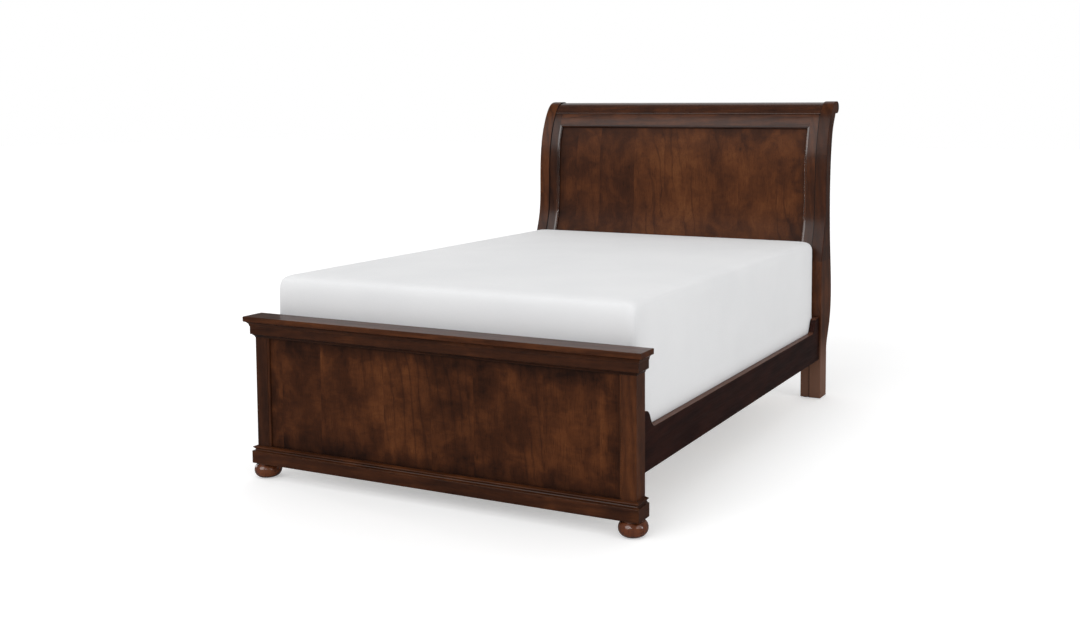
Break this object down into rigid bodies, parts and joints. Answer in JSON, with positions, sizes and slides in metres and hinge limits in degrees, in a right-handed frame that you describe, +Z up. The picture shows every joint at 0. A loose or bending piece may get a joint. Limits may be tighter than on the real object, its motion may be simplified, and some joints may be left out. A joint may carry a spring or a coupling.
{
  "type": "sleigh bed",
  "caption": "Sleigh bed with a rolled, S-curved panel headboard, a low panelled footboard on bun feet, side rails, slats, a foundation and a mattress.",
  "frame": {"origin": "on the floor, under the middle of the whole bed's box", "axes": "+X across the bed, +Y along the bed from the footboard to the headboard, +Z up"},
  "size_m": [1.684, 2.4369, 1.464],
  "materials": {
    "cherry_stain": "dark cherry stain under satin lacquer",
    "figured_veneer": "figured cherry veneer, dark stain, satin lacquer",
    "pale_pine": "planed, unfinished",
    "zinc_hardware": "zinc plated",
    "glide_plastic": "matte",
    "foundation_cloth": "woven cover",
    "mattress_knit": "smooth white knit"
  },
  "bodies": {
    "bed_frame": {"base_mould_front": "cherry_stain", "base_mould_left": "cherry_stain", "base_mould_right": "cherry_stain", "bed_mould_front": "cherry_stain", "bed_mould_left": "cherry_stain", "bed_mould_right": "cherry_stain", "bun_bolts": "zinc_hardware", "bun_foot_left": "cherry_stain", "bun_foot_right": "cherry_stain", "cap_mould_front": "cherry_stain", "cap_mould_left": "cherry_stain", "cap_mould_right": "cherry_stain", "center_leg_1": "pale_pine", "center_leg_2": "pale_pine", "center_leg_3": "pale_pine", "cleat_left": "pale_pine", "cleat_right": "pale_pine", "crest_roll": "cherry_stain", "floor_glides": "glide_plastic", "foot_bottom_rail": "cherry_stain", "foot_cap": "cherry_stain", "foot_panel": "figured_veneer", "foot_post_left": "cherry_stain", "foot_post_right": "cherry_stain", "foot_top_rail": "cherry_stain", "frieze_front": "cherry_stain", "frieze_left": "cherry_stain", "frieze_right": "cherry_stain", "head_bottom_rail": "cherry_stain", "head_mould_bottom": "cherry_stain", "head_mould_left": "cherry_stain", "head_mould_right": "cherry_stain", "head_mould_top": "cherry_stain", "head_panel": "figured_veneer", "head_post_left": "cherry_stain", "head_post_right": "cherry_stain", "head_stile_left": "cherry_stain", "head_stile_right": "cherry_stain", "head_top_rail": "cherry_stain", "keeper_plates": "zinc_hardware", "panel_bead_left": "cherry_stain", "panel_bead_right": "cherry_stain", "plate_screws": "zinc_hardware", "plinth_front": "cherry_stain", "plinth_left": "cherry_stain", "plinth_right": "cherry_stain", "rail_hooks": "zinc_hardware", "side_rail_left": "cherry_stain", "side_rail_right": "cherry_stain", "slat_1": "pale_pine", "slat_2": "pale_pine", "slat_3": "pale_pine", "slat_4": "pale_pine", "slat_5": "pale_pine", "wood_screws": "zinc_hardware"},
    "foundation": {"foundation": "foundation_cloth"},
    "mattress": {"mattress": "mattress_knit"},
    "leveller_1": {"leveller_1": "zinc_hardware"},
    "leveller_2": {"leveller_2": "zinc_hardware"},
    "leveller_3": {"leveller_3": "zinc_hardware"}
  },
  "joints": [
    {"name": "foundation_lift", "type": "slide", "parent": "bed_frame", "child": "foundation", "axis": [0, 0, 1], "range_m": [0, 0.42]},
    {"name": "mattress_lift", "type": "slide", "parent": "foundation", "child": "mattress", "axis": [0, 0, 1], "range_m": [0, 0.32]},
    {"name": "leveller_1_screw", "type": "slide", "parent": "bed_frame", "child": "leveller_1", "axis": [0, 0, 1], "range_m": [0, 0.012]},
    {"name": "leveller_2_screw", "type": "slide", "parent": "bed_frame", "child": "leveller_2", "axis": [0, 0, 1], "range_m": [0, 0.012]},
    {"name": "leveller_3_screw", "type": "slide", "parent": "bed_frame", "child": "leveller_3", "axis": [0, 0, 1], "range_m": [0, 0.012]}
  ]
}
